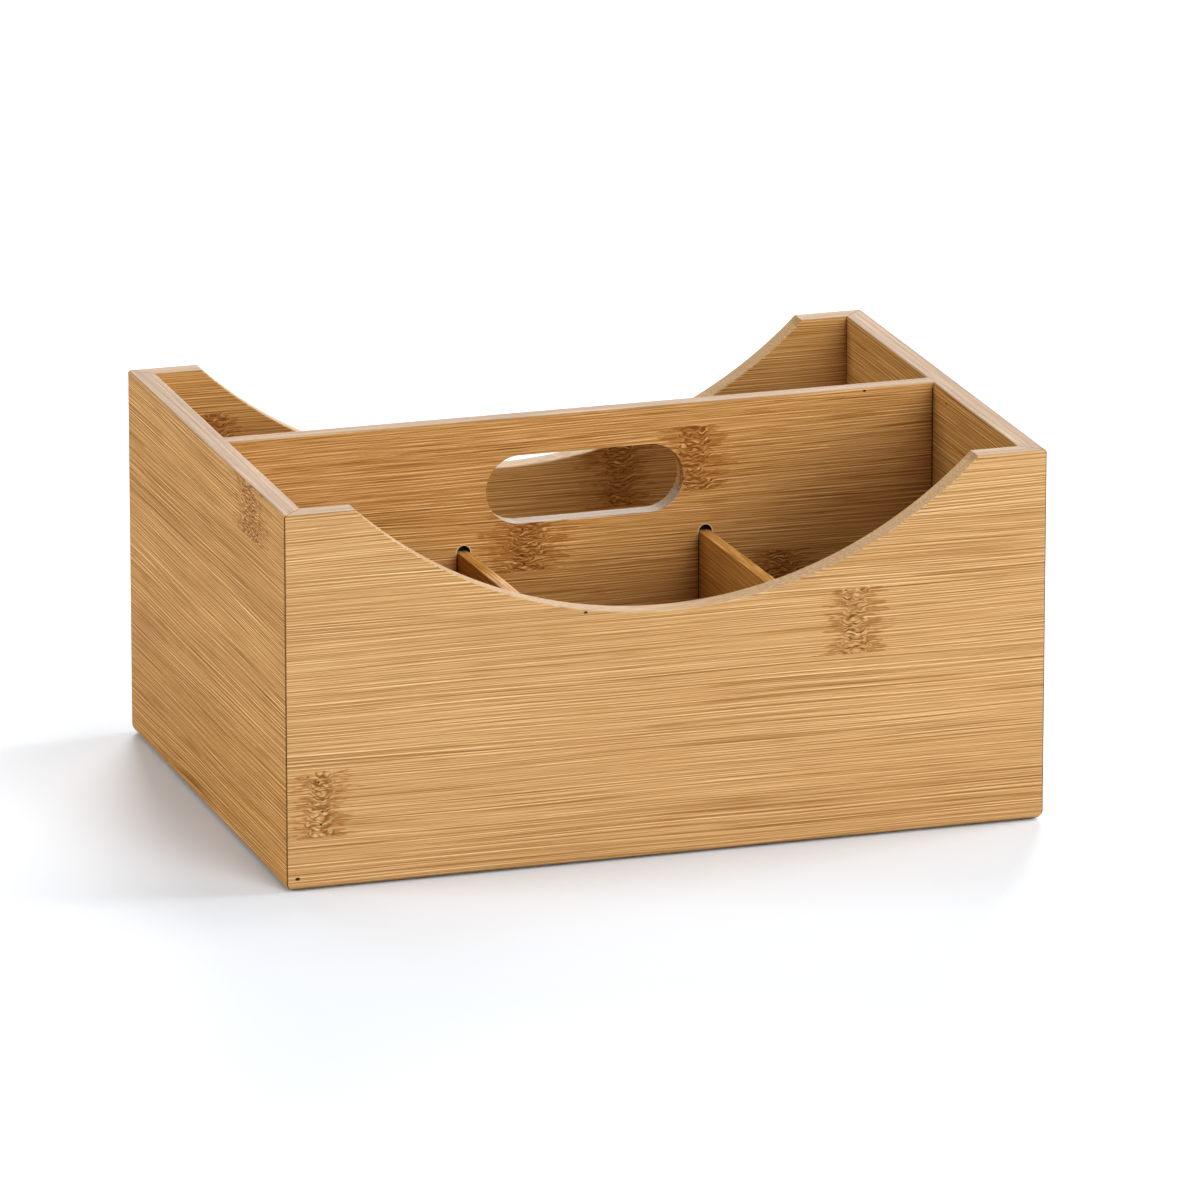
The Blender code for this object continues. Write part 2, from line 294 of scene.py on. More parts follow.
def glue_tree():
    """Geometry Nodes tree of the glue in the four mitres: one thin upright sheet, set at each corner.

    The sheet has the section of a wall, drawn out along the mitre, and stops a little short of
    every outer face.
    """
    add, given = new_tree(
        "mitre_glue", "GeometryNodeTree",
        "Length, Depth, Height, Thickness, Foot Radius, Arris Radius, Glue Line, Set Back, "
        "Material:Material", "Glue:Geometry")
    length, depth, height, thickness, foot, arris, glue, set_back, material = given

    inset = add("MULTIPLY", set_back, -2.0)
    section = add("CurvePrimitiveQuadrilateral", Width=add("ADD", thickness, inset),
                  Height=add("ADD", height, inset))
    place = add("SeparateXYZ", add("InputPosition"))
    outer = add("GREATER_THAN", place.outputs["X"], 0.0)
    low = add("LESS_THAN", place.outputs["Y"], 0.0)
    is_foot = add("MULTIPLY", outer, low)
    radius = add("Mix", Factor=is_foot, A=arris, B=foot)
    eased_section = add("FilletCurve", Curve=section, Radius=radius, Count=GLUE_SEGMENTS, mode="POLY")
    filled = add("FillCurve", Curve=eased_section, mode="NGONS")
    sheet = add("ExtrudeMesh", Mesh=filled, Offset_Scale=glue, Individual=False, mode="FACES")
    both = add("JoinGeometry", sheet)
    set_inputs(both, {0: add("FlipFaces", filled)})
    closed = add("MergeByDistance", Geometry=both, Distance=NEAR)
    half_glue = add("MULTIPLY", glue, -0.5)
    middle = add("CombineXYZ", add("MULTIPLY", thickness, -0.5), Z=half_glue)
    centred = add("Transform", Geometry=closed, Translation=middle)
    drawn_out = add("Transform", Geometry=centred, Rotation=(QUARTER_TURN, 0, 0),
                    Scale=(math.sqrt(2), 1, 1))
    lift = add("CombineXYZ", Z=add("MULTIPLY", height, 0.5))
    standing = add("Transform", Geometry=drawn_out, Translation=lift)

    outline = add("CurvePrimitiveQuadrilateral", Width=length, Height=depth)
    corners = add("CurveToPoints", Curve=outline, mode="EVALUATED")
    away = add("VectorMath SIGN", add("InputPosition"))
    facing = add("AlignRotationToVector", Vector=away, axis="X", pivot_axis="Z")
    sheets = add("InstanceOnPoints", Points=corners, Instance=standing, Rotation=facing)
    real = add("RealizeInstances", sheets)
    add("NodeGroupOutput", add("SetMaterial", Geometry=real, Material=material))


class BoardFacts(typing.NamedTuple):
    """What one board's bamboo looks like, in millimetres.

    Side is -1 for the side of a board towards -Y or +X, and 1 for the other. A knuckle is given
    by its place along the board, a height inside its strip, its side, its strength, how pale its
    core is and a factor on its width. A pit is given by its place, its height, its side and how
    long and how wide it is.
    """
    tone: str  # Tone of its faces
    edge: float  # Where its strips start above the table
    seed: float
    cut: str = ""  # Tone of the cut edges below its top
    tops: tuple = ()  # Tones of its top's two plies
    cream_ply: float = 1.0  # The creamier ply, 0 on side -1 or 1 on side 1
    shorter: float = 1.2  # How much shorter its fibres are than the front's
    contrast: float = 1.0  # How much stronger they show
    shine: float = 1.0  # The part of the lacquer's reflection that it has
    knuckles: tuple = ()
    pits: tuple = ()


TOPS = ("cream_tone", "pink_tone")
BOARDS = {
    "front": BoardFacts(
        "wall_tone", 16.9, 1.0, "scoop_tone", TOPS, shorter=1.0,
        knuckles=((11, 28, -1, 1.0, 1.0, 1.0), (186, 71, -1, 1.0, 0.6, 1.1),
                  (62, 50, 1, 0.8, 0.6, 1.2), (215, 28, 1, 0.8, 0.6, 1.2)),
        pits=((3.3, 4.3, -1, 1.5, 0.9), (97.4, 82.4, -1, 1.2, 0.7), (10.3, 35.2, -1, 0.6, 0.6),
              (11.5, 25.5, -1, 0.7, 0.6), (11.0, 21.3, -1, 0.6, 0.6))),
    "back": BoardFacts(
        "back_tone", 63.5, 2.0, "scoop_tone", TOPS, shorter=1.6,
        knuckles=((164, 74, -1, 1.0, 0.0, 1.2), (27, 95, -1, 0.9, 0.0, 1.0),
                  (205, 30, 1, 1.0, 0.8, 1.1), (70, 52, 1, 0.9, 0.8, 1.1)),
        pits=((131.0, 22.0, 1, 1.2, 0.7),)),
    "left": BoardFacts(
        "left_tone", 104.0, 3.0, tops=("left_top_tone", "left_top_tone"), contrast=1.2, shine=0.6,
        knuckles=((39, 113, 1, 0.7, 0.0, 2.2), (95, 92, -1, 0.8, 0.6, 1.2))),
    "right": BoardFacts(
        "right_tone", 98.0, 4.0, tops=TOPS, contrast=1.1,
        knuckles=((60, 30, 1, 0.9, 0.2, 1.3), (140, 64, 1, 0.9, 0.2, 1.3),
                  (120, 52, -1, 0.8, 0.6, 1.2)),
        pits=((74.0, 118.1, 1, 0.7, 1.0),)),
    "divider": BoardFacts(
        "divider_tone", 70.7, 5.0, "handle_tone", TOPS, cream_ply=0.0, shorter=2.2, contrast=1.1,
        knuckles=((156.2, 102, -1, 1.0, 0.0, 1.2), (100.2, 80, -1, 1.0, 0.0, 1.4),
                  (185.5, 60, -1, 0.9, 0.0, 1.4), (60, 40, 1, 0.9, 0.5, 1.2)),
        pits=((213.8, 121.1, -1, 1.0, 0.7), (98.8, 85.0, -1, 0.6, 0.5),
              (98.5, 76.2, -1, 0.7, 0.5), (99.3, 73.6, -1, 0.6, 0.5))),
    "cross_left": BoardFacts("thin_tone", 60.0, 6.0, "thin_edge_tone"),
    "cross_right": BoardFacts("thin_tone", 60.0, 7.0, "thin_edge_tone"),
    "bottom": BoardFacts(
        "bottom_tone", 0.0, 8.0,
        knuckles=((70, 30, 1, 0.9, 0.6, 1.2), (180, -35, 1, 0.9, 0.6, 1.2),
                  (120, 10, -1, 0.9, 0.6, 1.2))),
}

# The boards that stand on the table, and the side on which a board has the cross dividers' slots
WALLS = ("front", "back", "left", "right")
SLOT_SIDES = {"front": 1.0, "divider": -1.0}

# The grain of bamboo, finest first. Each layer is a stretched noise: its length along the board and
# its width in millimetres, and how much denser the wood gets from its palest to its darkest place.
# Layers that are thinner than THIN are fine lines. Real fibres are about 0.1 mm thick. They are
# drawn 0.4 mm thick, so that they show.
GRAIN = (
    ("pores", 2.6, 0.40, 0.06),
    ("hair fibres", 62, 0.39, 0.36),
    ("fine bands", 60, 2.4, 0.025),
    ("clouds", 80, 11.0, 0.065),
)
THIN = 0.6

# Dark vascular bundles: length and width in millimetres, where in the noise they start and are
# full, and how much denser they are
VESSELS = (
    ("short bundles", 24, 0.30, 0.63, 0.71, 0.17),
    ("long bundles", 80, 0.32, 0.64, 0.70, 0.32),
)

# Width of the strips, how far each is shifted in the grain, how much its grain leans, and how far
# the grain waves and is upset in a knuckle, in millimetres
STRIP_WIDTH = 21.9
STRIP_SHIFT = (900, 90, 90)
LEAN, WAVE, UPSET = 0.020, 1.6, 2.4

# Density that other marks add, and how much the density deepens and dims a tone
STRIP_SHADE, STAIN, SEAMS, STRIPES = 0.035, 0.30, 0.5, 0.35
DEEPEN, DIM = 0.68, -0.66

# Height of fibres, dashes and beads in millimetres
FIBRE_RELIEF, DASH_RELIEF, BEAD_RELIEF = -0.01, -0.10, 0.30

# Colours of stained wood, of a knuckle's beads, in a pit, of a slot's raw rim, which is partly a painted
# highlight,
# and of painted shade: in a slot, in the divider's gaps and on the walls' foot
MARKS = ("#A05F28", "#D8AE74", "#3A210F", "#CDAE80", "#1C110A")

# A knuckle's halo and its core: how far from its middle they fade from and to, and how ragged
# their edge is, in millimetres
KNUCKLE_FADES = ((12.0, 3.0, 4.0), (4.8, 2.2, 1.5))

# Where a slot's marks fade, from and to, in millimetres: its rim outwards and inwards, the line
# down its sides, and its head upwards
RIM_FADE, RIM_DEPTH, LINE_FADE, HEAD_FADE = (0.45, 0.25), (0.35, 0.15), (0.22, 0.12), (-2.0, 0.0)

# Where the painted contact shadow on the foot fades upwards and downwards, in millimetres, how dark it
# is, and how much of their own tone sanded tops take, which is partly a painted sheen
FOOT_SHADE_FADE, SOLE_FADE, FOOT_SHADE_STRENGTH, SANDED_SHEEN = (1.3, 0.5), (0.01, 0.05), 0.8, 0.75


def stretched_noise(add, place, size, detail=0.0, **settings):
    """Noise whose grains have the given size, in millimetres."""
    scaled = add("VectorMath MULTIPLY", place, tuple(1 / length for length in size))
    return add("TexNoise", Vector=scaled, Scale=1.0, Detail=detail, **settings)


def fine_lines(add, place, size, **settings):
    """Thin lines without broad bands: the difference of two noises one grain apart."""
    scaled = add("VectorMath MULTIPLY", place, tuple(1 / length for length in size))
    moved = add("VectorMath ADD", scaled, (0, 0, 1))
    return add("SUBTRACT", *(add("TexNoise", Vector=spot, Scale=1.0, Detail=0.0, **settings)
                             for spot in (scaled, moved)))


def apart(add, first, second):
    """How far two values are apart."""
    return add("ABSOLUTE", add("SUBTRACT", first, second))


def bamboo_group():
    """Solid pattern of flat-pressed bamboo, worked out in millimetres.

    Along the board, X, run strips of one width, two plies deep in Y. Each strip has a shade and a
    grain of its own. Knuckles, where the culm's joints were, come in as masks. Denser wood is
    darker and redder, so one density drives the colour. Faces that look up are sanded tops, and
    take a greyer tone of their own in each ply, which is partly a painted sheen. Last come a
    slot's pale rim, partly a painted highlight, and painted shade.
    """
    add, given = new_tree(
        "pressed_bamboo", "ShaderNodeTree",
        "Position:Vector, Upward, First Edge, Seed, Tone:Color, Cream Tone:Color, Pink Tone:Color, "
        "Halo, Core, Paleness, Pit, Cream Ply, Shorter, Contrast, Rim, Char, Cut, Cut Tone:Color",
        "Colour:Color, Relief")
    (position, upward, first_edge, seed, tone, cream_tone, pink_tone, halo, core, paleness, pit,
     cream_ply, shorter, contrast, rim, painted_shade, is_cut, cut_tone) = given
    along, through, across = add("SeparateXYZ", position).outputs
    strips = add("DIVIDE", add("SUBTRACT", across, first_edge), STRIP_WIDTH)
    ply = add("GREATER_THAN", through, 0.0)
    key = add("CombineXYZ", add("FLOOR", strips), ply, seed)
    chance = add("TexWhiteNoise", key, noise_dimensions="3D").outputs["Color"]
    chances = add("SeparateColor", chance).outputs

    # The grain leans a little in each strip, waves slowly, and is upset in a knuckle's core
    lean = add("MULTIPLY", add("ADD", chances[0], -0.5), LEAN)
    lean = add("MULTIPLY_ADD", lean, along, across)
    wave = add("MULTIPLY_ADD", stretched_noise(add, position, (90, 90, 16)), WAVE, lean)
    upset = add("MULTIPLY", stretched_noise(add, position, (3.2, 3.5, 2.2), 1.0), core)
    bent = add("MULTIPLY_ADD", upset, UPSET, wave)
    shift = add("VectorMath MULTIPLY", chance, STRIP_SHIFT)
    local = add("VectorMath ADD", add("CombineXYZ", along, through, bent), shift)
    drawn_in = add("MULTIPLY", along, shorter)
    grain = add("VectorMath ADD", add("CombineXYZ", drawn_in, through, bent), shift)

    # Dark bundles stand in crowds. Long fibres fade out in a knuckle's core and on sanded tops
    crowds = add("ADD", stretched_noise(add, grain, (90, 6, 6), 1.0), -0.5)
    fibres = 0.0
    for label, length, width, weight in GRAIN:
        size = (length, width, width)
        if width < THIN:
            layer = fine_lines(add, grain, size, label=label)
        else:
            layer = add("SUBTRACT", stretched_noise(add, grain, size, label=label), 0.5)
        fibres = add("MULTIPLY_ADD", layer, 2 * weight, fibres)
    for label, length, width, start, full, weight in VESSELS:
        noise = stretched_noise(add, grain, (length, width, width), label=label)
        noise = add("MULTIPLY_ADD", crowds, 0.16, noise)
        lines = add("MapRange", noise, start, full, -0.1 * weight, 0.9 * weight)
        fibres = add("ADD", fibres, lines)
    kept = add("MapRange", core, 0.0, 1.0, 1.0, 0.25)
    kept = add("MULTIPLY", kept, add("MapRange", upward, 0.0, 1.0, 1.0, 0.3))
    kept = add("MULTIPLY", kept, contrast)
    shade = add("MapRange", chances[1], 0.0, 1.0, -STRIP_SHADE, STRIP_SHADE)
    density = add("MULTIPLY_ADD", fibres, kept, shade)

    # Round a knuckle the wood is stained in short streaks, which thin out away from it
    streaks = stretched_noise(add, local, (4.0, 0.55, 0.55), 1.0)
    streaks = add("MULTIPLY_ADD", halo, 0.26, streaks)
    streaks = add("MapRange", streaks, 0.62, 0.70)
    near = add("MapRange", halo, 0.0, 0.3)
    stain = add("MULTIPLY", streaks, near)
    density = add("MULTIPLY_ADD", stain, STAIN, density)

    # A pale core is a heap of small cells with dark seams between them
    tiny = add("VectorMath MULTIPLY", local, (1 / 2.1, 1 / 0.8, 1 / 0.68))
    cells = add("TexVoronoi", Vector=tiny, Scale=1.0, Randomness=1.0, feature="F1")
    beads = add("MapRange", cells, 0.70, 0.15, interpolation_type="SMOOTHSTEP")
    beads = add("MULTIPLY", beads, paleness)
    seams = add("MULTIPLY", add("MapRange", cells, 0.50, 0.80), paleness)
    density = add("MULTIPLY_ADD", seams, SEAMS, density)

    # A dull core has short wavy dashes instead, which get rarer away from its middle
    dull = add("SUBTRACT", core, paleness, use_clamp=True)
    dashes = add("MULTIPLY_ADD", dull, 0.16, fine_lines(add, local, (2.2, 0.5, 0.5)))
    dashes = add("MapRange", dashes, 0.0, 0.34, -0.22, 0.60)
    dashes = add("MULTIPLY", dashes, add("MapRange", dull, 0.0, 0.4))
    density = add("ADD", density, dashes)

    # A sanded top shows both plies, one creamier, and the broad stripes of the strips' edges. Its greyer
    # tone is partly a painted sheen
    stripes = add("ADD", stretched_noise(add, grain, (220, 1.3, 6), 1.0), -0.5)
    pinkness = add("MULTIPLY_ADD", stripes, 1.2, apart(add, ply, cream_ply), use_clamp=True)
    sanded = add("Mix", Factor=pinkness, A=cream_tone, B=pink_tone, data_type="RGBA")
    banded = add("MULTIPLY", stripes, upward)
    density = add("MULTIPLY_ADD", banded, STRIPES, density)
    for mask, other in ((upward, sanded), (is_cut, cut_tone)):
        tone = add("Mix", Factor=mask, A=tone, B=other, data_type="RGBA")

    deep = add("Gamma", tone, add("MULTIPLY_ADD", density, DEEPEN, 1.0))
    dimmed = add("EXPONENT", add("MULTIPLY", density, DIM))
    colour = add("VectorMath SCALE", deep, Scale=dimmed)
    ruddy = add("MULTIPLY_ADD", stain, 0.12, add("MULTIPLY", near, 0.07))
    capped = add("MULTIPLY", beads, 0.75)
    # A slot's rim is partly a painted highlight, and the last colour is painted shade
    for mask, code in zip((ruddy, capped, pit, rim, painted_shade), MARKS):
        colour = add("Mix", Factor=mask, A=colour, B=(*linear(code), 1), data_type="RGBA")
    relief = add("MULTIPLY", fibres, FIBRE_RELIEF)
    relief = add("MULTIPLY_ADD", dashes, DASH_RELIEF, relief)
    relief = add("MULTIPLY_ADD", beads, BEAD_RELIEF, relief)
    add("NodeGroupOutput", colour, relief)


def knuckle_group():
    """Masks of one knuckle in its strip: a wide halo that is stained, and a ragged core."""
    add, given = new_tree("bamboo_knuckle", "ShaderNodeTree",
                          "Position:Vector, Along, Across, Side, Strength, Spread", "Halo, Core")
    position, centre, middle, side, strength, spread = given
    along, through, across = add("SeparateXYZ", position).outputs
    off = apart(add, along, centre)
    half = STRIP_WIDTH / 2
    inside = add("MapRange", apart(add, across, middle), half, half - 0.5)
    facing = add("GREATER_THAN", add("MULTIPLY", through, side), 0.0)
    shown = add("MULTIPLY", add("MULTIPLY", inside, facing), strength)
    masks = []
    for start, stop, reach in KNUCKLE_FADES:
        ragged = stretched_noise(add, position, (15, 15, 1.6), 1.0)
        ragged = add("MapRange", ragged, 0.3, 0.7, -reach, reach, clamp=False)
        edge = add("ADD", add("DIVIDE", off, spread), ragged)
        fade = add("MapRange", edge, start, stop, interpolation_type="SMOOTHSTEP")
        masks.append(add("MULTIPLY", fade, shown))
    add("NodeGroupOutput", *masks)


def slot_group():
    """Masks of a router slot with a round top: its narrow pale rim, and the painted shade inside it.

    The rim is raw wood and partly a painted highlight, and shows round the top only. Down its sides
    the slot has a dark line of painted shade instead.
    """
    add, given = new_tree("router_slot", "ShaderNodeTree",
                          "Position:Vector, Along, Top, Half Width, Side, Face, Floor", "Rim, Char")
    position, centre, top, half_width, side, face, floor = given
    along, through, across = add("SeparateXYZ", position).outputs
    off = add("SUBTRACT", along, centre)
    above = add("MAXIMUM", add("SUBTRACT", across, top), 0.0)
    away = add("VectorMath LENGTH", add("CombineXYZ", off, Z=above))
    outside = add("SUBTRACT", away, half_width)
    depth = add("SUBTRACT", face, add("MULTIPLY", through, side))
    close = add("MapRange", outside, *RIM_FADE)
    shallow = add("MapRange", depth, *RIM_DEPTH)
    deep = add("MapRange", depth, *reversed(RIM_DEPTH))
    head = add("MapRange", add("SUBTRACT", across, top), *HEAD_FADE)
    # Pale rim round the top: raw wood, and partly a painted highlight
    rim = add("MULTIPLY", add("MULTIPLY", close, shallow), head)
    line = add("MapRange", outside, *LINE_FADE)
    line = add("MULTIPLY", line, add("SUBTRACT", 1.0, head))
    # Painted shade: dark inside the slot, and in a line down its sides
    painted_shade = add("MAXIMUM", add("MULTIPLY", close, deep), line)
    facing = add("LESS_THAN", depth, face)
    painted_shade = add("MULTIPLY", painted_shade, add("GREATER_THAN", across, floor))
    painted_shade = add("MULTIPLY", painted_shade, facing)
    add("NodeGroupOutput", rim, painted_shade)


def grain_frame(node, turn):
    """A board's point, turned with its grain, that its places are measured from, and its thickness."""
    low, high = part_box(node)
    corner = turn @ low
    opposite = turn @ high
    origin = Vector((min(corner.x, opposite.x), (corner.y + opposite.y) / 2, 0))
    return origin, abs((turn @ (high - low)).y)


def pits(board, node, turn):
    """Small spoon-shaped cutters for the pits in a board."""
    origin, thickness = grain_frame(node, turn)
    out = thickness / 2 + PIT_LIFT
    cutters = []
    for place, height, side, length, width in BOARDS[board].pits:
        shape = bmesh.new()
        bmesh.ops.create_icosphere(shape, subdivisions=2, radius=0.5)
        spot = turn.inverted() @ (origin + Vector((place * MM, side * out, height * MM)))
        grow = Matrix.Diagonal((length * MM, width * MM, width * MM))
        shape.transform(Matrix.Translation(spot) @ (turn.inverted() @ grow).to_4x4())
        cutters.append(object_from("pit", shape, None))
    return cutters


def new_material(name):
    """Make a material, and return it with its shader and the function that adds nodes to it."""
    material = bpy.data.materials.new(name)
    material.use_nodes = True
    tree = material.node_tree
    return material, tree.nodes["Principled BSDF"], functools.partial(add_node, tree)


def knuckle_masks(add, mapping, facts):
    """Masks of all the knuckles of a board."""
    halo, core, paleness = 0.0, 0.0, 0.0
    for place, height, side, strength, pale, spread in facts.knuckles:
        strip = math.floor((height - facts.edge) / STRIP_WIDTH)
        middle = facts.edge + (strip + 0.5) * STRIP_WIDTH
        knuckle = add("Group", Position=mapping, Along=place, Across=middle, Side=side,
                      Strength=strength, Spread=spread,
                      node_tree=bpy.data.node_groups["bamboo_knuckle"]).outputs
        halo = add("MAXIMUM", knuckle["Halo"], halo)
        core = add("MAXIMUM", knuckle["Core"], core)
        paleness = add("MULTIPLY_ADD", knuckle["Core"], pale, paleness)
    return {"Halo": halo, "Core": core, "Paleness": paleness}


def pit_mask(add, mapping, facts, face):
    """Mask of the dark insides of a board's pits."""
    pit = 0.0
    for place, height, side, length, width in facts.pits:
        away = add("VectorMath SUBTRACT", mapping, (place, side * face, height))
        away = add("VectorMath MULTIPLY", away, (2 / length, 2 / width, 2 / width))
        dark = add("MapRange", add("VectorMath LENGTH", away), 1.3, 0.9)
        pit = add("MAXIMUM", dark, pit)
    return pit


def slot_masks(add, mapping, board, origin, face):
    """Masks of the rims and the insides of both router slots of a board."""
    sizes = bpy.context.scene.storage_box_sizes
    inputs = {"Position": mapping, "Side": SLOT_SIDES[board], "Face": face,
              "Floor": BOTTOM_HIGH.z / MM,
              "Top": CROSS_HIGH.z / MM - (0.0 if board == "front" else sizes.cross_rise / MM),
              "Half Width": (CROSS / 2 + sizes.slot_play) / MM}
    slots = [add("Group", **inputs, Along=(centre_x - origin.x) / MM,
                 node_tree=bpy.data.node_groups["router_slot"]).outputs for centre_x in CROSS_CENTRES]
    return {mask: add("MAXIMUM", *(slot[mask] for slot in slots)) for mask in ("Rim", "Char")}


def bamboo(board, node, turn):
    """Pressed bamboo, sanded and clear-lacquered: satin, warm straw, with fine brown fibres.

    Turn brings the board's grain onto X and its strips' width onto Z.
    """
    look = bpy.context.scene.storage_box_look
    facts = BOARDS[board]
    material, shader, add = new_material(board + "_board_bamboo")
    origin, thickness = grain_frame(node, turn)
    face = thickness / MM / 2
    spot = add("TexCoord").outputs
    mapping = add("Mapping", Vector=spot["Object"], Location=-origin / MM,
                  Rotation=turn.to_euler(), Scale=(1 / MM, 1 / MM, 1 / MM))
    inputs = {"Position": mapping, "First Edge": facts.edge, "Seed": facts.seed,
              "Tone": (*getattr(look, facts.tone), 1), "Cream Ply": facts.cream_ply,
              "Shorter": facts.shorter, "Contrast": facts.contrast,
              "Pit": pit_mask(add, mapping, facts, face), **knuckle_masks(add, mapping, facts)}
    if board in SLOT_SIDES:
        inputs.update(slot_masks(add, mapping, board, origin, face))
    if facts.tops or facts.cut:
        upwards = add("SeparateXYZ", spot["Normal"]).outputs["Z"]
        along, _, height = add("SeparateXYZ", mapping).outputs
    if facts.cut:
        # Below its top the board's upward edges are cut across the strips, and take a tone of their own
        # that is partly a painted sheen
        lower = add("MapRange", height, HEIGHT / MM - 1, HEIGHT / MM - 2.5)
        rising = add("MapRange", upwards, 0.2, 0.55)
        inputs["Cut"] = add("MULTIPLY", lower, rising)
        inputs["Cut Tone"] = (*getattr(look, facts.cut), 1)
    if board == "divider":
        # Painted shade: the divider is darkened in the gap beside the side boards
        off = apart(add, along, (DIVIDER_HIGH.x - DIVIDER_LOW.x) / 2 / MM)
        shoulder = INNER_LENGTH / 2 / MM
        corner = add("MapRange", off, shoulder - 0.6, shoulder - 0.3, 0.0, 0.75)
        corner = add("MULTIPLY", corner, lower)
        inputs["Char"] = add("MAXIMUM", inputs["Char"], corner)
    if board in WALLS:
        # Painted shade: the rounding of the foot is darkened just above the table, as a contact shadow
        painted_foot_shade = add("MapRange", height, *FOOT_SHADE_FADE, 0.0, FOOT_SHADE_STRENGTH)
        painted_foot_shade = add("MULTIPLY", painted_foot_shade, add("MapRange", height, *SOLE_FADE))
        inputs["Char"] = add("MAXIMUM", inputs["Char"], painted_foot_shade) if "Char" in inputs else painted_foot_shade
    if facts.tops:
        # Sanded tops show no knuckles. Faces that look up take their tones, which are partly a painted
        # sheen
        upward = add("MapRange", upwards, 0.2, 0.9, 0.0, SANDED_SHEEN)
        bare = add("MapRange", upward, 0.0, SANDED_SHEEN, 1.0, 0.0)
        inputs["Upward"] = upward
        for mask in ("Halo", "Core", "Paleness"):
            inputs[mask] = add("MULTIPLY", inputs[mask], bare)
        for socket, tone in zip(("Cream Tone", "Pink Tone"), facts.tops):
            inputs[socket] = (*getattr(look, tone), 1)
    pattern = add("Group", **inputs, node_tree=bpy.data.node_groups["pressed_bamboo"])
    bump = add("Bump", Height=pattern.outputs["Relief"], Distance=MM, Strength=1.0)
    set_inputs(shader, {"Base Color": pattern, "Normal": bump, "Roughness": look.roughness,
                        "Specular IOR Level": look.gloss * facts.shine})
    return material


def wood_glue():
    """Cured wood glue with dust in it: a thin dull brown line."""
    material, shader, add = new_material("cured_wood_glue")
    noise = add("TexNoise", Vector=add("TexCoord").outputs["Object"], Scale=300.0)
    mixed = add("Mix", Factor=noise, A=(*linear("#4A2A10"), 1), B=(*linear("#7A4C20"), 1),
                data_type="RGBA")
    set_inputs(shader, {"Base Color": mixed, "Roughness": 0.6, "Specular IOR Level": 0.05})
    return material


def new_object(name, data):
    """Make an object of the scene."""
    item = bpy.data.objects.new(name, data)
    bpy.context.scene.collection.objects.link(item)
    return item


def evaluated_mesh(item):
    """Mesh of an object as its modifiers leave it."""
    return bpy.data.meshes.new_from_object(item.evaluated_get(bpy.context.evaluated_depsgraph_get()))


def plain(item):
    """Turn an object's modifiers into its mesh, without empty material slots."""
    mesh = evaluated_mesh(item)
    for index in reversed(range(len(mesh.materials))):
        if mesh.materials[index] is None:
            mesh.materials.pop(index=index)
    item.modifiers.clear()
    item.data = mesh
    return item


def grown(name, tree_name, values):
    """Make an object from a Geometry Nodes tree and the values of its inputs."""
    item = new_object(name, bpy.data.meshes.new(name))
    tree = bpy.data.node_groups[tree_name]
    nodes = item.modifiers.new(tree_name, "NODES")
    nodes.node_group = tree
    for socket in tree.interface.items_tree:
        if socket.in_out == "INPUT":
            nodes[socket.identifier] = values[socket.name]
    return plain(item)


def smooth_shaded(item):
    """Shade rounded edges smooth and keep the flat faces flat."""
    item.data.shade_smooth()
    item.data.set_sharp_from_angle(angle=SMOOTH_BEND)
    item.modifiers.new("weighted", "WEIGHTED_NORMAL").keep_sharp = True
    return plain(item)


def seated(item, node):
    """Let a finished piece stand for its CAD node and ride with the box."""
    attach(item, BODY)
    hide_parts(node)


def block(name, low, high):
    """Box between two corners."""
    low, high = Vector(low), Vector(high)
    shape = bmesh.new()
    place = Matrix.Translation((high + low) / 2) @ Matrix.Diagonal((*(high - low), 1))
    bmesh.ops.create_cube(shape, size=1, matrix=place)
    return object_from(name, shape, None)


def cut(item, cutters):
    """Take the cutters' space out of a piece, and remove the cutters."""
    for cutter in cutters:
        boolean = item.modifiers.new(cutter.name, "BOOLEAN")
        boolean.operation = "DIFFERENCE"
        boolean.object = cutter
    plain(item)
    for cutter in cutters:
        bpy.data.objects.remove(cutter, do_unlink=True)
    return item


def bottom_groove(sizes):
    """Space of the bottom panel in the four walls."""
    half_x = INNER_LENGTH / 2 + sizes.groove_depth
    half_y = INNER_DEPTH / 2 + sizes.groove_depth
    gap = sizes.joint_gap
    low = (-half_x, -half_y, BOTTOM_LOW.z - gap)
    return block("bottom_groove", low, (half_x, half_y, BOTTOM_HIGH.z + gap))


def divider_housing(sizes):
    """Space of the centre divider's tongues in the side boards."""
    half_x = INNER_LENGTH / 2 + sizes.housing_depth
    half_y = DIVIDER / 2 + sizes.joint_gap
    high = (half_x, half_y, HEIGHT - sizes.housing_stop)
    return block("divider_housing", (-half_x, -half_y, BOTTOM_HIGH.z), high)


def sharp_edges(board):
    """Edges of a bmesh that bend sharply outwards, each with its two ends."""
    return [(edge, edge.verts[0].co, edge.verts[1].co) for edge in board.edges
            if edge.is_convex and edge.calc_face_angle(0.0) > SHARP_BEND]


def foot_edges(board):
    """The outer bottom edge of a wall."""
    return [edge for edge, first, second in sharp_edges(board)
            if max(first.z, second.z) < NEAR and max(first.y, second.y) < NEAR - WALL / 2]


def level_edges(board):
    """The long edges of a wall's top, its scoop and its inner bottom edge."""
    return [edge for edge, first, second in sharp_edges(board)
            if abs(first.y - second.y) < NEAR and abs(abs(first.y) - WALL / 2) < NEAR
            and abs(first.x - second.x) > NEAR]


def tip_edges(board):
    """The pointed edges where the outer faces of a wall meet its mitres."""
    edges = []
    for edge, _, _ in sharp_edges(board):
        normals = [face.normal for face in edge.link_faces]
        mitres = [normal for normal in normals if abs(abs(normal.x) - abs(normal.y)) < NEAR_NORMAL]
        outer = [normal for normal in normals if abs(normal.x) < NEAR_NORMAL and normal.y < -NEAR_NORMAL]
        if mitres and outer:
            edges.append(edge)
    return edges


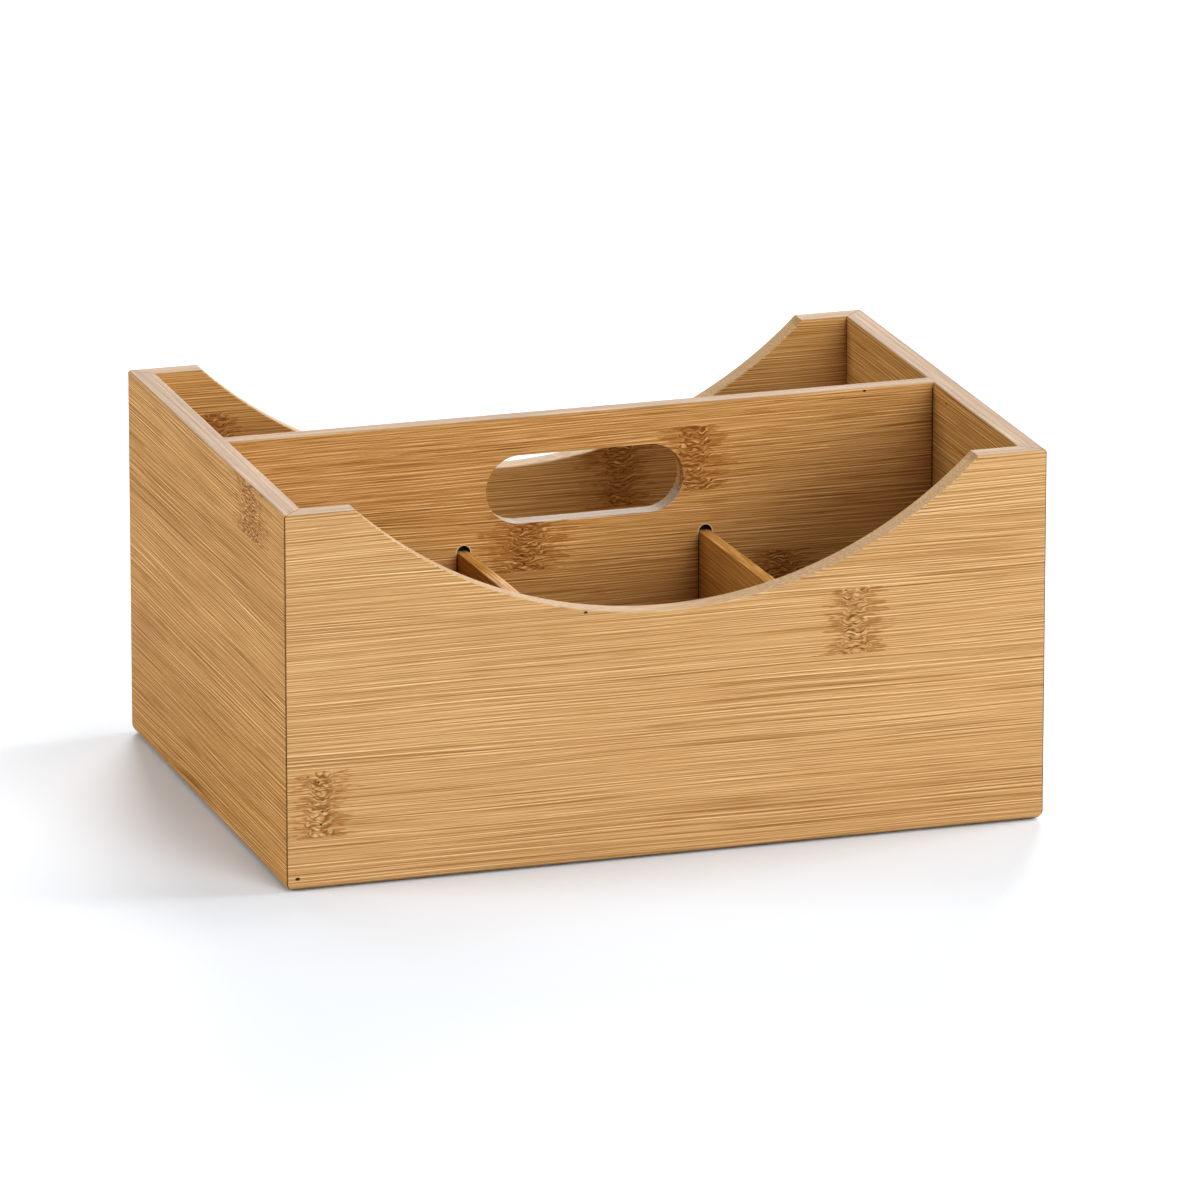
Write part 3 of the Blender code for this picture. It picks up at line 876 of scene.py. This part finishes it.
def wall(name, turn, distance, length, scooped, material, sizes):
    """One mitred wall, made by the tree, its edges rounded, turned and moved out to its side."""
    item = grown(name, "mitred_wall", {
        "Length": length, "Height": HEIGHT, "Thickness": WALL, "Horn Length": sizes.horn_length,
        "Scoop Depth": sizes.scoop_depth, "Glue Line": sizes.glue_line, "Scooped": scooped,
        "Drum Segments": DRUM_SEGMENTS, "Material": material})
    board = bmesh.new()
    board.from_mesh(item.data)
    bmesh.ops.dissolve_limit(board, angle_limit=FLAT_BEND, verts=board.verts, edges=board.edges)
    eased(board, foot_edges(board), sizes.foot_radius, FOOT_SEGMENTS)
    eased(board, level_edges(board), sizes.arris_radius, ARRIS_SEGMENTS)
    eased(board, tip_edges(board), sizes.tip_radius, TIP_SEGMENTS)
    board.to_mesh(item.data)
    board.free()
    item.data.transform(Matrix.Rotation(turn, 4, "Z") @ Matrix.Translation((0, -distance, 0)))
    return item


def outline_board(loops, thickness):
    """Upright board as a bmesh: closed outlines in X and Z, its thickness centred on Y = 0."""
    curve = bpy.data.curves.new("outline", "CURVE")
    curve.dimensions = "2D"
    curve.fill_mode = "BOTH"
    curve.extrude = thickness / 2
    for loop in loops:
        spline = curve.splines.new("POLY")
        spline.points.add(len(loop) - 1)
        spline.use_cyclic_u = True
        for point, (x, z) in zip(spline.points, loop):
            point.co = (x, z, 0.0, 1.0)
    guide = new_object("outline", curve)
    mesh = evaluated_mesh(guide)
    bpy.data.objects.remove(guide, do_unlink=True)
    board = bmesh.new()
    board.from_mesh(mesh)
    bmesh.ops.remove_doubles(board, verts=board.verts, dist=NEAR)
    bmesh.ops.dissolve_limit(board, angle_limit=FLAT_BEND, verts=board.verts, edges=board.edges)
    bmesh.ops.rotate(board, verts=board.verts, matrix=Matrix.Rotation(QUARTER_TURN, 3, "X"))
    return board


def arc(centre_x, centre_z, radius, start, end, segments):
    """Points of an arc in X and Z, both ends included, angles from +X towards +Z."""
    angles = [start + (end - start) * i / segments for i in range(segments + 1)]
    return [(centre_x + radius * math.cos(a), centre_z + radius * math.sin(a)) for a in angles]


def face_edges(board, thickness, lowest):
    """Sharp edges round both faces of an upright board, from a height upwards."""
    edges = []
    for edge in board.edges:
        first, second = (vert.co for vert in edge.verts)
        on_face = abs(abs(first.y) - thickness / 2) < NEAR and abs(first.y - second.y) < NEAR
        if on_face and min(first.z, second.z) > lowest - NEAR and edge.calc_face_angle(0.0) > SHARP_BEND:
            edges.append(edge)
    return edges


def eased(board, edges, radius, segments):
    """Round the given edges of a bmesh."""
    bmesh.ops.bevel(board, geom=edges, offset=radius, offset_type="OFFSET", affect="EDGES",
                    segments=segments, profile=0.5, clamp_overlap=True)


def object_from(name, board, material, place=None):
    """Turn a bmesh into an object with its faces pointing out."""
    bmesh.ops.recalc_face_normals(board, faces=board.faces)
    mesh = bpy.data.meshes.new(name)
    board.to_mesh(mesh)
    board.free()
    if place is not None:
        mesh.transform(place)
    if material is not None:
        mesh.materials.append(material)
    return new_object(name, mesh)


def cross_slots(sizes):
    """Router slots of the cross dividers, with round tops that follow their rising top edges."""
    half = CROSS / 2 + sizes.slot_play
    front = -INNER_DEPTH / 2 - sizes.slot_depth
    back = -DIVIDER / 2 + sizes.slot_depth
    foot = BOTTOM_HIGH.z
    outline = [(-half, foot), (half, foot)]
    outline += arc(0, CROSS_HIGH.z - sizes.cross_rise, half, 0, math.pi, SLOT_TOP_SEGMENTS)
    slots = []
    for centre_x in CROSS_CENTRES:
        board = outline_board([outline], back - front)
        for vert in board.verts:
            if vert.co.y < 0 and vert.co.z > foot + NEAR:
                vert.co.z += sizes.cross_rise
        slots.append(object_from("slot", board, None,
                                 Matrix.Translation((centre_x, (front + back) / 2, 0))))
    return slots


# Turns that bring a board's grain onto X and its strips' width onto Z
UPRIGHT = Matrix.Identity(3)
SIDEWAYS = Matrix.Rotation(-QUARTER_TURN, 3, "Z")
LYING = Matrix.Rotation(QUARTER_TURN, 3, "X")


class STORAGEBOX_OT_scooped_boards(bpy.types.Operator):
    """Make the front and the back board with their round scoops"""
    bl_idname = "storagebox.scooped_boards"
    bl_label = "Scooped boards"

    def execute(self, context):
        sizes = context.scene.storage_box_sizes
        for name, turn in (("front", 0), ("back", math.pi)):
            node = name + "_panel"
            material = bamboo(name, node, UPRIGHT)
            item = wall(name + "_board", turn, (DEPTH - WALL) / 2, LENGTH, True, material, sizes)
            cutters = [bottom_groove(sizes), *pits(name, node, UPRIGHT)]
            if name == "front":
                cutters += cross_slots(sizes)
            seated(smooth_shaded(cut(item, cutters)), node)
        return {"FINISHED"}


class STORAGEBOX_OT_side_boards(bpy.types.Operator):
    """Make the left and the right board"""
    bl_idname = "storagebox.side_boards"
    bl_label = "Side boards"

    def execute(self, context):
        sizes = context.scene.storage_box_sizes
        for name, turn in (("left", -QUARTER_TURN), ("right", QUARTER_TURN)):
            node = name + "_side_panel"
            material = bamboo(name, node, SIDEWAYS)
            item = wall(name + "_board", turn, (LENGTH - WALL) / 2, DEPTH, False, material, sizes)
            cut(item, [bottom_groove(sizes), divider_housing(sizes), *pits(name, node, SIDEWAYS)])
            seated(smooth_shaded(item), node)
        return {"FINISHED"}


class STORAGEBOX_OT_mitre_glue(bpy.types.Operator):
    """Make the glue lines in the four mitres"""
    bl_idname = "storagebox.mitre_glue"
    bl_label = "Mitre glue"

    def execute(self, context):
        sizes = context.scene.storage_box_sizes
        item = grown("mitre_glue_lines", "mitre_glue", {
            "Length": LENGTH, "Depth": DEPTH, "Height": HEIGHT, "Thickness": WALL,
            "Foot Radius": sizes.foot_radius, "Arris Radius": sizes.arris_radius,
            "Glue Line": sizes.glue_line, "Set Back": sizes.glue_back, "Material": wood_glue()})
        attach(item, BODY)
        return {"FINISHED"}


class STORAGEBOX_OT_centre_divider(bpy.types.Operator):
    """Make the centre divider with its handle slot and the slots of the cross dividers"""
    bl_idname = "storagebox.centre_divider"
    bl_label = "Centre divider"

    def execute(self, context):
        sizes = context.scene.storage_box_sizes
        gap = sizes.joint_gap
        shoulder = INNER_LENGTH / 2 - gap
        tongue = shoulder + sizes.housing_depth
        stop = HEIGHT - sizes.housing_stop - gap
        lip = sizes.arris_radius
        right = [(tongue, DIVIDER_LOW.z), (tongue, stop), (shoulder, stop), (shoulder, HEIGHT - lip),
                 (shoulder + lip, HEIGHT)]
        outline = right + [(-x, z) for x, z in reversed(right)]
        radius = sizes.handle_width / 2
        reach = sizes.handle_length / 2 - radius
        level = HEIGHT - sizes.handle_bar - radius
        handle = arc(reach, level, radius, -QUARTER_TURN, QUARTER_TURN, HANDLE_END_SEGMENTS)
        handle += arc(-reach, level, radius, QUARTER_TURN, 3 * QUARTER_TURN, HANDLE_END_SEGMENTS)
        board = outline_board([outline, handle], DIVIDER)
        eased(board, face_edges(board, DIVIDER, HEIGHT), sizes.arris_radius, ARRIS_SEGMENTS)
        rims = [edge for edge in face_edges(board, DIVIDER, level - radius)
                if max(abs(vert.co.x) for vert in edge.verts) < sizes.handle_length / 2 + NEAR]
        eased(board, rims, sizes.handle_arris, HANDLE_SEGMENTS)
        material = bamboo("divider", "centre_divider", UPRIGHT)
        item = object_from("divider_board", board, material)
        cut(item, cross_slots(sizes) + pits("divider", "centre_divider", UPRIGHT))
        seated(smooth_shaded(item), "centre_divider")
        return {"FINISHED"}


class STORAGEBOX_OT_cross_dividers(bpy.types.Operator):
    """Make the two thin cross dividers of the front compartment"""
    bl_idname = "storagebox.cross_dividers"
    bl_label = "Cross dividers"

    def execute(self, context):
        sizes = context.scene.storage_box_sizes
        half = (CROSS_HIGH.y - CROSS_LOW.y) / 2
        top = CROSS_HIGH.z - sizes.cross_rise
        outline = [(-half, CROSS_LOW.z), (half, CROSS_LOW.z), (half, top), (-half, CROSS_HIGH.z)]
        middle_y = (CROSS_HIGH.y + CROSS_LOW.y) / 2
        for side, centre_x in zip(("left", "right"), CROSS_CENTRES):
            board = outline_board([outline], CROSS)
            eased(board, face_edges(board, CROSS, top), sizes.cross_arris, CROSS_SEGMENTS)
            node = "cross_divider_" + side
            material = bamboo("cross_" + side, node, SIDEWAYS)
            place = Matrix.Translation((centre_x, middle_y, 0)) @ Matrix.Rotation(QUARTER_TURN, 4, "Z")
            item = object_from("cross_board_" + side, board, material, place)
            seated(smooth_shaded(item), node)
        return {"FINISHED"}


class STORAGEBOX_OT_bottom_panel(bpy.types.Operator):
    """Make the bottom panel"""
    bl_idname = "storagebox.bottom_panel"
    bl_label = "Bottom panel"

    def execute(self, context):
        item = block("bottom_board", BOTTOM_LOW, BOTTOM_HIGH)
        item.data.materials.append(bamboo("bottom", "bottom_panel", LYING))
        seated(item, "bottom_panel")
        return {"FINISHED"}


class STORAGEBOX_OT_studio(bpy.types.Operator):
    """Set up the floor, the soft light and the camera"""
    bl_idname = "storagebox.studio"
    bl_label = "Studio"

    def execute(self, context):
        studio = context.scene.storage_box_studio
        shape = bmesh.new()
        bmesh.ops.create_circle(shape, cap_ends=True, segments=FLOOR_SEGMENTS,
                                radius=studio.floor_radius)
        floor_material, shader, _ = new_material("white_studio_floor")
        set_inputs(shader, {"Base Color": (*studio.floor_tone, 1), "Roughness": FLOOR_ROUGHNESS})
        object_from("floor", shape, floor_material)

        world = bpy.data.worlds.new("white_studio")
        world.use_nodes = True
        set_inputs(world.node_tree.nodes["Background"], {"Color": (1, 1, 1, 1),
                                                         "Strength": studio.surround})
        context.scene.world = world
        for name, place, power in SOFT_BOXES:
            lamp = bpy.data.lights.new(name, "AREA")
            lamp.size = SOFT_BOX_WIDTH
            lamp.energy = power * studio.light
            item = new_object(name, lamp)
            item.location = place
            item.rotation_euler = Vector(place).to_track_quat("Z", "Y").to_euler()
            item.visible_camera = False
        context.scene.view_settings.view_transform = "Standard"

        camera = bpy.data.cameras.new("camera")
        camera.lens = CAMERA_LENS_MM
        camera.sensor_width = CAMERA_SENSOR_MM
        item = new_object("camera", camera)
        item.location = CAMERA_PLACE
        item.rotation_euler = CAMERA_TURN
        context.scene.camera = item
        return {"FINISHED"}


OPERATORS = (STORAGEBOX_OT_scooped_boards, STORAGEBOX_OT_side_boards, STORAGEBOX_OT_mitre_glue,
             STORAGEBOX_OT_centre_divider, STORAGEBOX_OT_cross_dividers,
             STORAGEBOX_OT_bottom_panel, STORAGEBOX_OT_studio)


class STORAGEBOX_PT_pieces(bpy.types.Panel):
    """Lists the box's pieces and sizes"""
    bl_idname = "STORAGEBOX_PT_pieces"
    bl_label = "Storage Box"
    bl_space_type = "VIEW_3D"
    bl_region_type = "UI"
    bl_category = "Storage Box"

    def draw(self, context):
        layout = self.layout
        for settings in (context.scene.storage_box_sizes, context.scene.storage_box_look,
                         context.scene.storage_box_studio):
            for name in settings.__annotations__:
                layout.prop(settings, name)
        for operator in OPERATORS:
            layout.operator(operator.bl_idname)


CLASSES = (BoxSizes, BambooLook, BoxStudio, *OPERATORS, STORAGEBOX_PT_pieces)


def register():
    """Register the classes, and give the scene the box's settings."""
    for made in CLASSES:
        bpy.utils.register_class(made)
    bpy.types.Scene.storage_box_sizes = bpy.props.PointerProperty(type=BoxSizes)
    bpy.types.Scene.storage_box_look = bpy.props.PointerProperty(type=BambooLook)
    bpy.types.Scene.storage_box_studio = bpy.props.PointerProperty(type=BoxStudio)


def unregister():
    """Take the settings and the classes away again."""
    del bpy.types.Scene.storage_box_studio
    del bpy.types.Scene.storage_box_look
    del bpy.types.Scene.storage_box_sizes
    for made in reversed(CLASSES):
        bpy.utils.unregister_class(made)


def main():
    register()
    for make_tree in (board_tree, glue_tree, knuckle_group, slot_group, bamboo_group):
        make_tree()
    for operator in OPERATORS:
        group, name = operator.bl_idname.split(".")
        getattr(getattr(bpy.ops, group), name)()


if __name__ == "__main__":
    main()
